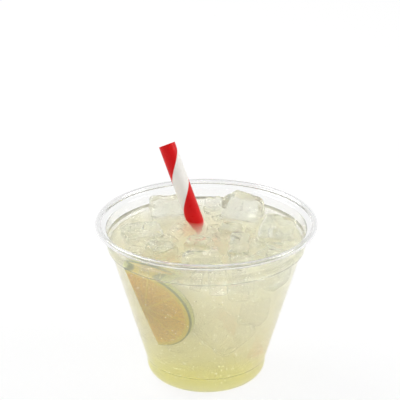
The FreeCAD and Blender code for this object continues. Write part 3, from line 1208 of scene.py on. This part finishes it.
@dataclass
class Lemonade:
    """The drink up to its level, cut round all that stands in it."""

    cup: ColdCup
    level: float
    into_wall: float = 0.2 * MM
    meniscus: float = 0.15 * MM
    climb: float = 1.6 * MM
    climb_steps: int = 16
    flat_steps: int = 18
    stir: float = 0.18 * MM
    stir_within: float = 43.0 * MM
    settled_gap: float = 0.25 * MM
    turns: int = 224
    settled_turns: int = 120

    def profile(self) -> Array:
        """Profile just inside the film, up to a level that climbs a little at the wall.

        The level at a distance s from the wall is the plain level plus the meniscus
        times exp(-s / climb).
        """
        line = self.cup.face(self.cup.film / 2 - self.into_wall)
        line = line[: int(np.argmax(line[:, 1] > self.level + self.meniscus))]
        edge = float(self.cup.inner_radius(self.level + self.meniscus, -self.into_wall))
        away = np.concatenate([np.linspace(0, 6, self.climb_steps),
                               np.linspace(7.5, edge / MM - 1, self.flat_steps)]) * MM
        top = np.stack([edge - away, self.level + self.meniscus * np.exp(-away / self.climb)], -1)
        profile = np.concatenate([line, top, [[0.0, self.level]]])
        profile[0, 0] = 0.0
        return profile

    def build(self, material: Material,
              tools: list[Piece]) -> Piece:
        """Revolve the drink, stir its surface slightly and cut the tools out."""
        piece = revolve("lemonade", self.profile(), self.turns)
        mesh = piece.data
        points = np.empty(len(mesh.vertices) * 3)
        mesh.vertices.foreach_get("co", points)
        points = points.reshape(-1, 3)
        top = (points[:, 2] > self.level - 0.05 * MM) & (
            np.hypot(points[:, 0], points[:, 1]) < self.stir_within)
        points[top, 2] += self.stir * ripple(points[top], 5, 14 * MM)
        mesh.vertices.foreach_set("co", points.ravel())
        carve(piece, tools)
        return dress(piece, material, Slot.DRINK, "drink")

    def settle(self, material: Material, top: float) -> Piece:
        """Richer juice that has settled below a height, as a body well inside the drink."""
        line = self.cup.face(self.cup.film / 2 + self.settled_gap)
        line = line[: int(np.argmax(line[:, 1] > top))]
        inward = np.linspace(float(self.cup.inner_radius(top, self.settled_gap)), 0.0, 24)
        profile = np.concatenate([line, np.stack([inward, np.full(24, top)], -1)])
        profile[0, 0] = 0.0
        return dress(revolve("settled_juice", profile, self.settled_turns), material, Slot.DRINK)


@dataclass
class FineBubbles:
    """Tiny bubbles and drops that cling to the inside of the wall and hang in the drink."""

    cup: ColdCup
    level: float
    seed: int = 11
    bubbles: int = 1700
    beads: int = 900
    flecks: int = 500
    bared: float = 2.5 * MM
    touch: float = 0.05 * MM
    hang: float = 1.5 * MM

    @staticmethod
    def round_axis(far: Array, angle: Array, height: Array) -> Array:
        """Places from distances from the axis, angles and heights."""
        return np.stack([far * np.cos(angle), far * np.sin(angle), height], -1)

    def on_wall(self, name: str, count: int, seed: int) -> Piece:
        """Bubbles on the inner face, smaller ones far more common."""
        rng = np.random.default_rng(seed)
        height = rng.uniform(6 * MM, self.level + self.bared, count)
        angle = rng.uniform(0, 2 * np.pi, count)
        radii = (0.1 + 0.18 * rng.power(0.5, count)) * MM
        far = self.cup.inner_radius(height) - radii * 0.9 - self.touch
        return scatter(name, self.round_axis(far, angle, height), radii)

    def in_drink(self, count: int) -> Piece:
        """Flecks of pulp through the drink."""
        rng = np.random.default_rng(self.seed + 1)
        height = rng.uniform(4 * MM, self.level - self.hang, count)
        far = np.sqrt(rng.uniform(0, 1, count)) * (self.cup.inner_radius(height) - self.hang)
        angle = rng.uniform(0, 2 * np.pi, count)
        squash = rng.uniform(0.35, 1.6, (count, 3))
        radii = rng.uniform(0.12, 0.34, count) * MM
        return scatter("pulp_flecks", self.round_axis(far, angle, height), radii, squash)

    def build(self, bubble: Material, bead: Material,
              pulp: Material) -> None:
        """Make all three kinds."""
        # The wall bubbles take the glowing finish, which paints white glints on them.
        dress(self.on_wall("glowing_wall_bubbles", self.bubbles, self.seed), bubble, Slot.DRINK)
        dress(self.on_wall("wall_beads", self.beads, self.seed + 2), bead, Slot.DRINK)
        dress(self.in_drink(self.flecks), pulp, Slot.DRINK)


# ---------------------------------------------------------------- the studio
@dataclass
class Studio:
    """White floor and surround, soft lamps and the camera."""

    floor_half: float = 6.0
    floor_drop: float = 0.0002
    floor_share: float = 0.14
    surround: float = 0.68
    room_pale: float = 0.72
    room_dark: float = 0.42
    box_glow: float = 3.0
    aim: Triple = (0.0, 0.0, 0.05)
    lamps: tuple[tuple[str, Triple, float, float], ...] = (
        ("key_lamp", (-0.7, 0.5, 1.0), 0.7, 10.0), ("side_lamp", (0.9, 0.1, 0.7), 0.4, 4.0))
    lens: float = 126.9
    stand: Triple = (-0.0028, -0.5724, 0.3219)
    tilt: float = 67.4
    boxes: tuple[tuple[Triple, float], ...] = (
        ((-0.52, 0.40, 0.755), 0.95), ((0.70, 0.16, 0.696), 0.96), ((0.1, -0.62, 0.778), 0.975))

    def world(self) -> None:
        """White all round, with grey walls and soft boxes in what glass and gloss show."""
        world = bpy.data.worlds.new("surround")
        bpy.context.scene.world = world
        world.use_nodes = True
        nodes = Nodes(world.node_tree)
        back = world.node_tree.nodes["Background"]
        path = nodes.add("ShaderNodeLightPath")
        x, y, rise = (nodes.axis(number, "Generated") for number in range(3))
        around = nodes.math("ARCTAN2", y, x)
        gaps = nodes.smooth(nodes.math("SINE", nodes.math("MULTIPLY", around, 3.0)), -0.3, 0.4)
        room = nodes.mix(gaps, grey(self.room_pale), grey(self.room_dark))
        room = nodes.mix(nodes.smooth(rise, 0.78, 0.92), room, grey(0.9))
        studio = nodes.mix(nodes.smooth(rise, 0.08, 0.26), grey(1.0), room)
        for way, edge in self.boxes:
            facing = nodes.add("ShaderNodeVectorMath", {0: nodes.place("Generated"), 1: way},
                               operation="DOT_PRODUCT").outputs["Value"]
            studio = nodes.mix(nodes.smooth(facing, edge, edge + 0.02), studio, grey(self.box_glow))
        seen = nodes.math("MAXIMUM", path.outputs["Is Glossy Ray"],
                          path.outputs["Is Transmission Ray"])
        plain = nodes.mix(seen, grey(self.surround), studio)
        nodes.fill(back, {"Color": nodes.mix(path.outputs["Is Camera Ray"], plain, grey(1.0))})

    def floor(self) -> Piece:
        """White floor that keeps a faint shadow."""
        corners = np.array([[-1, -1, 0], [1, -1, 0], [1, 1, 0], [-1, 1, 0]]) * self.floor_half
        piece = put_mesh("floor", corners - [0, 0, self.floor_drop], [[0, 1, 2, 3]])
        material, nodes, shader, output = new_material("white_floor")
        tone = nodes.noise(nodes.place(), 3.0)
        nodes.fill(shader, {"Base Color": nodes.mix(tone, grey(0.83), grey(0.82)),
                            "Roughness": 1.0, "Specular IOR Level": 0.0})
        glow = nodes.add("ShaderNodeEmission", {"Color": grey(1.0), "Strength": 1.0})
        blend = nodes.add("ShaderNodeMixShader", {0: self.floor_share, 1: glow.outputs[0],
                                                  2: shader.outputs[0]})
        nodes.fill(output, {"Surface": blend.outputs[0]})
        piece.data.materials.append(material)
        return piece

    def lamp(self, name: str, place: Sequence[float], size: float, power: float) -> None:
        """Square soft lamp aimed at the drink.

        Args:
            name: the lamp's name.
            place: where it stands.
            size: length of its side.
            power: in watts.
        """
        data = bpy.data.lights.new(name, "AREA")
        data.size = size
        data.energy = power
        lamp = bpy.data.objects.new(name, data)
        lamp.location = place
        way = np.array(self.aim) - np.array(place)
        lamp.rotation_euler = (math.atan2(math.hypot(way[0], way[1]), -way[2]), 0,
                               math.atan2(way[1], way[0]) - math.pi / 2)
        lamp.visible_camera = False
        bpy.context.scene.collection.objects.link(lamp)

    def camera(self) -> None:
        """Long lens, looking down on the drink from the front."""
        data = bpy.data.cameras.new("camera")
        data.lens = self.lens
        data.sensor_width = 36.0
        camera = bpy.data.objects.new("camera", data)
        camera.location = self.stand
        camera.rotation_euler = (math.radians(self.tilt), 0, 0)
        bpy.context.scene.collection.objects.link(camera)
        bpy.context.scene.camera = camera

    def build(self) -> None:
        """Set the scene up."""
        scene = bpy.context.scene
        scene.view_settings.view_transform = "Standard"
        scene.cycles.max_bounces = 96
        scene.cycles.transmission_bounces = 48
        scene.cycles.volume_bounces = 40
        scene.cycles.glossy_bounces = 40
        scene.cycles.blur_glossy = 0.0
        self.world()
        self.floor()
        for name, place, size, power in self.lamps:
            self.lamp(name, place, size, power)
        self.camera()


def main() -> None:
    """Build the studio and the drink, piece by piece."""
    logging.basicConfig(level=logging.INFO, format="%(name)s %(message)s")
    Studio().build()
    level = 67.0 * MM
    overlap = 0.12 * MM
    cup = ColdCup()
    straw = PaperStraw()
    lime = LimeSlice()
    ice = IceLoad(cup, level)
    cup.build(ClearFilm().make())
    drink = Lemonade(cup, level)
    tools = [*ice.tools(), straw.tool(overlap), lime.tool(level, overlap)]
    drink.build(CloudyJuice().make(), tools)
    rich = CloudyJuice("settled_juice", 1.0, (0.975, 0.945, 0.05), 75.0, 300.0)
    drink.settle(rich.make(), 13.5 * MM)
    straw.build(StripedPaper().make())
    lime.build(level, LimeFlesh(lime.radius, lime.pith, lime.segments).make())
    ice.build(WetIce().make(), WetIce("sunk_ice", (1.0, 1.0, 0.99), 0.93).make())
    ice.cores(BubbleFinish("frozen_air", 1.0 / 1.31).make(), 70)
    # The wall bubbles glow white by emission, as painted glints; the beads are only clear.
    painted_sparkle = BubbleFinish("fine_bubble_painted_glint", 1.2, 0.0, 0.5)
    bead = BubbleFinish("clear_bead", 1.0 / 1.333)
    FineBubbles(cup, level).build(painted_sparkle.make(), bead.make(), PulpFinish().make())


if __name__ == "__main__":
    main()
